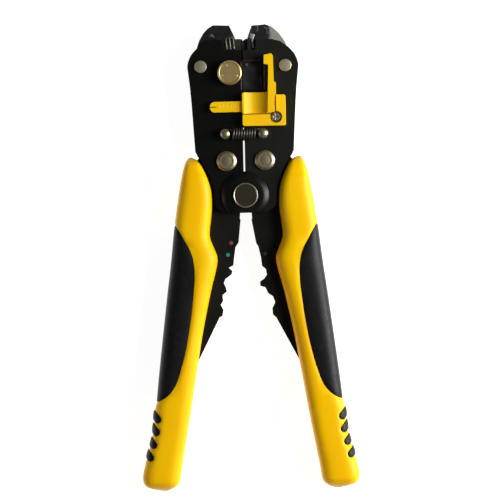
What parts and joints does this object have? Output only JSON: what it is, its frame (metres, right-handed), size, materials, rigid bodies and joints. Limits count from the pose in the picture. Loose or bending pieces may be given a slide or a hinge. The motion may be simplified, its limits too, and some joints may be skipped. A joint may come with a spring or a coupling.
{
  "type": "self-adjusting wire stripper",
  "caption": "Self-adjusting wire stripper, cutter and crimper with a black steel head, a sliding length stop and padded spring-opened handles.",
  "frame": {"origin": "centre of the bounding box's underside, with the tool lying on its back", "axes": "+Y along the tool towards the jaws, +Z out of the front face, +X across to the blade side"},
  "size_m": [0.0962, 0.2058, 0.0229],
  "materials": {
    "black_paint": "glossy black paint over steel plate",
    "cast_steel": "dark blackened cast steel, slightly worn",
    "blade_steel": "ground tool steel",
    "rivet_steel": "satin nickel plate with turning rings",
    "spring_steel": "black oxide spring wire",
    "brass": "pale satin brass, knurled",
    "yellow_plastic": "moulded yellow plastic",
    "grip_plastic": "smooth yellow moulded grip",
    "grip_rubber": "soft matte charcoal rubber with a fine grain",
    "red_enamel": "red enamel spot",
    "blue_enamel": "blue enamel spot",
    "grey_enamel": "worn pale enamel spot"
  },
  "bodies": {
    "left_head": {"left_front_plate": "black_paint", "left_back_plate": "black_paint", "left_lower_jaw": "cast_steel", "left_jaw_rivet": "rivet_steel", "left_mid_rivet": "rivet_steel", "left_spring_post": "rivet_steel", "main_pivot_rivet": "rivet_steel", "pivot_washer": "rivet_steel", "front_spring": "spring_steel", "back_spring": "spring_steel"},
    "right_head": {"right_front_plate": "black_paint", "right_back_plate": "black_paint", "right_lower_jaw": "cast_steel", "lower_blade": "blade_steel", "right_jaw_rivet": "rivet_steel", "right_mid_rivet": "rivet_steel", "right_spring_post": "rivet_steel", "stop_guide": "yellow_plastic", "stop_screw": "rivet_steel"},
    "left_handle": {"left_handle_core": "black_paint", "left_grip": "grip_plastic", "left_grip_inlay": "grip_rubber", "left_grip_ribs": "grip_rubber", "red_die_mark": "red_enamel", "blue_die_mark": "blue_enamel", "handle_torsion_spring": "spring_steel"},
    "right_handle": {"right_handle_core": "black_paint", "right_grip": "grip_plastic", "right_grip_inlay": "grip_rubber", "right_grip_ribs": "grip_rubber", "grey_die_mark": "grey_enamel"},
    "left_jaw": {"left_upper_jaw": "cast_steel", "left_upper_jaw_pin": "rivet_steel"},
    "right_jaw": {"right_upper_jaw": "cast_steel", "right_upper_jaw_pin": "rivet_steel", "upper_blade": "blade_steel"},
    "knob": {"tension_knob": "brass", "tension_shaft": "brass"},
    "wire_stop": {"stop_slider": "yellow_plastic"}
  },
  "joints": [
    {"name": "head_spread", "type": "hinge", "parent": "left_head", "child": "right_head", "pos_m": [0, 0.02725, 0.0103], "axis": [0, 0, 1], "range_deg": [-8.5, 0], "stiffness_Nm_per_rad": 2, "deforming": ["front_spring", "back_spring"]},
    {"name": "left_handle_squeeze", "type": "hinge", "parent": "left_head", "child": "left_handle", "pos_m": [0, 0.02725, 0.0103], "axis": [0, 0, 1], "range_deg": [0, 6], "stiffness_Nm_per_rad": 1, "deforming": ["handle_torsion_spring"]},
    {"name": "right_handle_squeeze", "type": "hinge", "parent": "right_head", "child": "right_handle", "pos_m": [0, 0.02725, 0.0103], "axis": [0, 0, 1], "range_deg": [-6, 0], "stiffness_Nm_per_rad": 1},
    {"name": "left_jaw_close", "type": "hinge", "parent": "left_head", "child": "left_jaw", "pos_m": [-0.01875, 0.08445, 0.0103], "axis": [0, 0, 1], "range_deg": [-12, 0]},
    {"name": "right_jaw_close", "type": "hinge", "parent": "right_head", "child": "right_jaw", "pos_m": [0.01875, 0.08445, 0.0103], "axis": [0, 0, 1], "range_deg": [0, 12]},
    {"name": "knob_turn", "type": "hinge", "parent": "left_head", "child": "knob", "pos_m": [-0.0059, 0.08145, 0.0172], "axis": [0, 0, 1], "range_deg": [-120, 120]},
    {"name": "stop_slide", "type": "slide", "parent": "right_head", "child": "wire_stop", "axis": [1, 0, 0], "range_m": [-0.006, 0]}
  ],
  "couplings": [
    {"joint": "left_jaw_close", "follows": "left_handle_squeeze", "ratio": -2},
    {"joint": "right_jaw_close", "follows": "right_handle_squeeze", "ratio": -2}
  ]
}
